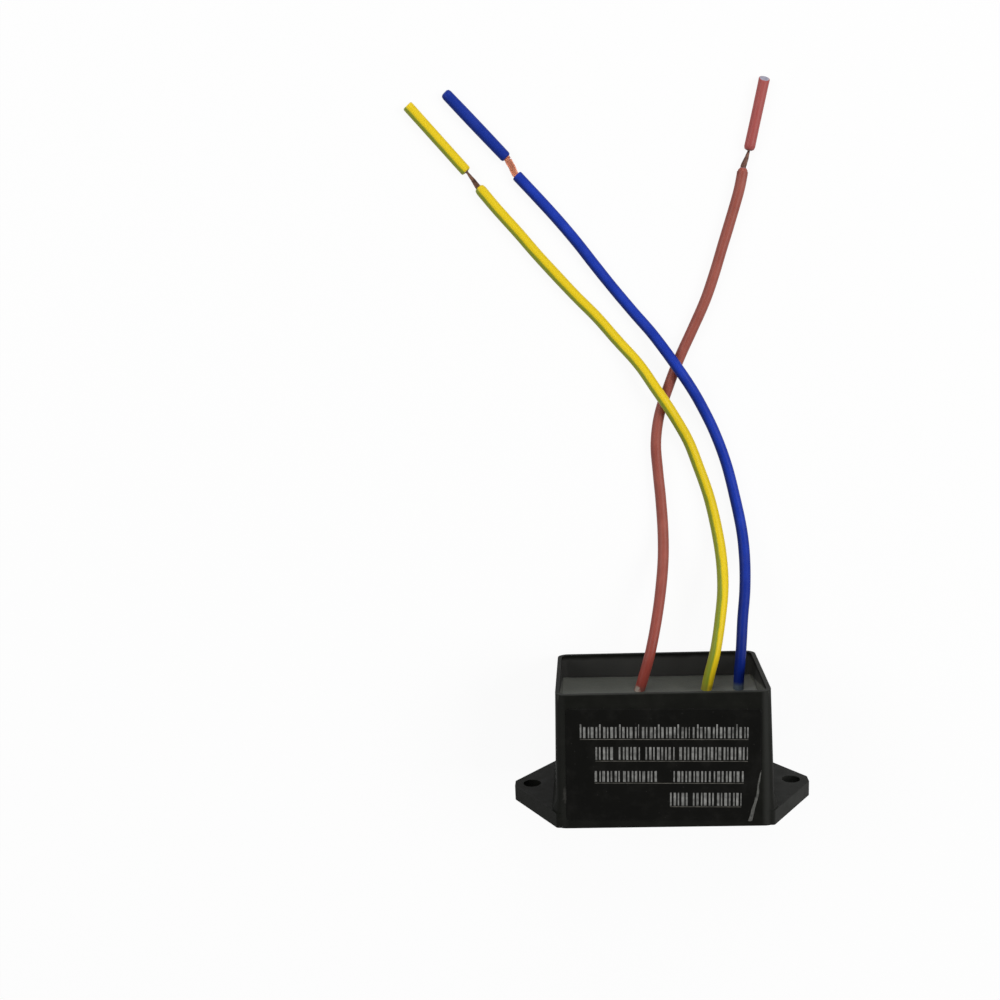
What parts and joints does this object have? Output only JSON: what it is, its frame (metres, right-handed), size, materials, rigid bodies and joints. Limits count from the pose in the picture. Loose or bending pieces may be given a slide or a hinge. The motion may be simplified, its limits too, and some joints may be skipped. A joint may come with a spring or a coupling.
{
  "type": "surge protection device",
  "caption": "Potted surge protection module: small black box with tapering fixing ears, filled with resin, with flying leads stripped at their tips.",
  "frame": {"origin": "centre of the back wall's lower side as the module lies on it: bottom centre of the bounding box without the leads", "axes": "+X along the line through the two ear holes, +Y out of the open potted end where the leads leave, +Z out of the wall that carries the sticker"},
  "size_m": [0.0934, 0.1708, 0.0346],
  "materials": {
    "case_plastic": "moulded black, fine satin grain",
    "resin": "cast dark grey potting resin, slightly uneven",
    "label_film": "glossy black film",
    "board_laminate": "green solder mask",
    "track_copper": "bright copper",
    "solder": "bright solder",
    "varistor_coat": "blue epoxy coat",
    "tube_ceramic": "fired white ceramic",
    "electrode_metal": "tinned metal",
    "fuse_body": "tan fuse body",
    "root_insulation": "insulation cast in the resin",
    "core_copper": "stranded bare copper",
    "brown_insulation": "brown-red insulation, satin",
    "earth_insulation": "yellow insulation with green stripes, satin",
    "blue_insulation": "blue insulation, satin"
  },
  "bodies": {
    "root": {"case": "case_plastic", "potting_compound": "resin", "front_label": "label_film", "circuit_board": "board_laminate", "copper_tracks": "track_copper", "solder_joints": "solder", "varistor_line_neutral": "varistor_coat", "varistor_neutral_earth": "varistor_coat", "varistor_line_earth": "varistor_coat", "gas_tube_ceramic": "tube_ceramic", "gas_tube_electrodes": "electrode_metal", "thermal_fuse_line": "fuse_body", "thermal_fuse_neutral": "fuse_body", "lead_roots": "root_insulation", "lead_root_cores": "core_copper", "brown_wire_insulation": "brown_insulation", "brown_wire_core": "core_copper", "brown_tip_sleeve": "brown_insulation", "earth_wire_insulation": "earth_insulation", "earth_wire_core": "core_copper", "earth_tip_sleeve": "earth_insulation", "blue_wire_insulation": "blue_insulation", "blue_wire_core": "core_copper", "blue_tip_sleeve": "blue_insulation"}
  },
  "joints": []
}
